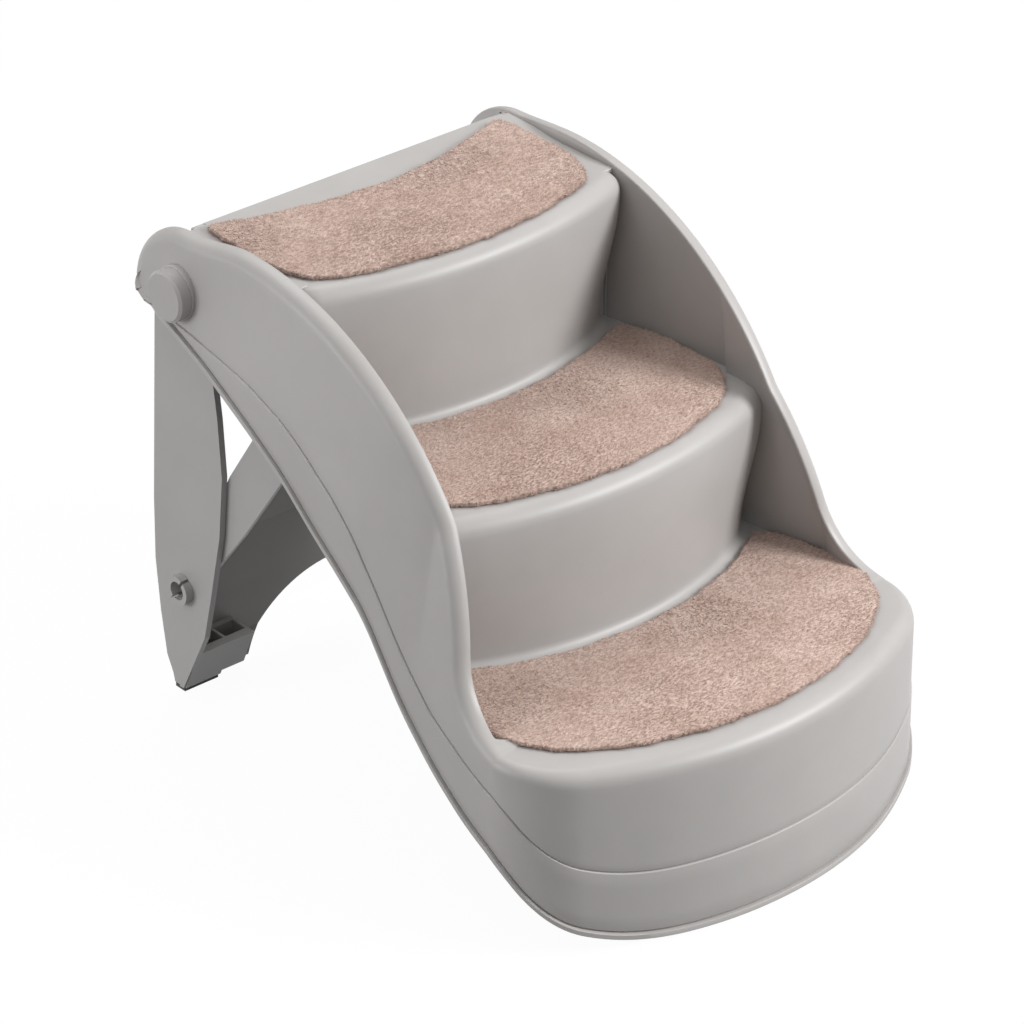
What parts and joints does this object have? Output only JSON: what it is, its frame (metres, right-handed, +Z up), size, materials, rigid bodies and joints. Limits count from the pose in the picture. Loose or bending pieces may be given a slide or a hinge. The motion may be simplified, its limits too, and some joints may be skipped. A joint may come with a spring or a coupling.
{
  "type": "pet stairs",
  "caption": "Moulded pet stairs with bowed steps, carpet pads and a rear leg that folds under the shell.",
  "frame": {"origin": "middle of the box on the floor", "axes": "+Z up from the floor, +Y from the front step towards the rear leg, +X across to the right cheek seen from behind the front step"},
  "size_m": [0.463, 0.6416, 0.482],
  "materials": {
    "shell_plastic": "fine texture",
    "leg_plastic": "fine texture",
    "carpet": "short cut pile",
    "tape": "film",
    "steel": "spring steel",
    "washer": "smooth",
    "rubber": "smooth"
  },
  "bodies": {
    "shell": {"stair_shell": "shell_plastic", "top_carpet": "carpet", "middle_carpet": "carpet", "bottom_carpet": "carpet", "top_tape": "tape", "middle_tape": "tape", "bottom_tape": "tape", "hinge_pin_left": "leg_plastic", "hinge_pin_right": "leg_plastic", "hinge_clip_left": "steel", "hinge_clip_right": "steel", "hinge_washer_left": "washer", "hinge_washer_right": "washer"},
    "leg": {"rear_leg": "leg_plastic", "rear_foot_left": "rubber", "rear_foot_right": "rubber"},
    "brace": {"brace": "leg_plastic"}
  },
  "joints": [
    {"name": "leg_fold", "type": "hinge", "parent": "shell", "child": "leg", "pos_m": [0, 0.25, 0.422], "axis": [-1, 0, 0], "range_deg": [0, 50]},
    {"name": "brace_fold", "type": "hinge", "parent": "leg", "child": "brace", "pos_m": [0, 0.271, 0.111], "axis": [-1, 0, 0], "range_deg": [0, 28.5]}
  ],
  "couplings": [
    {"joint": "brace_fold", "follows": "leg_fold", "ratio": 0.565}
  ]
}
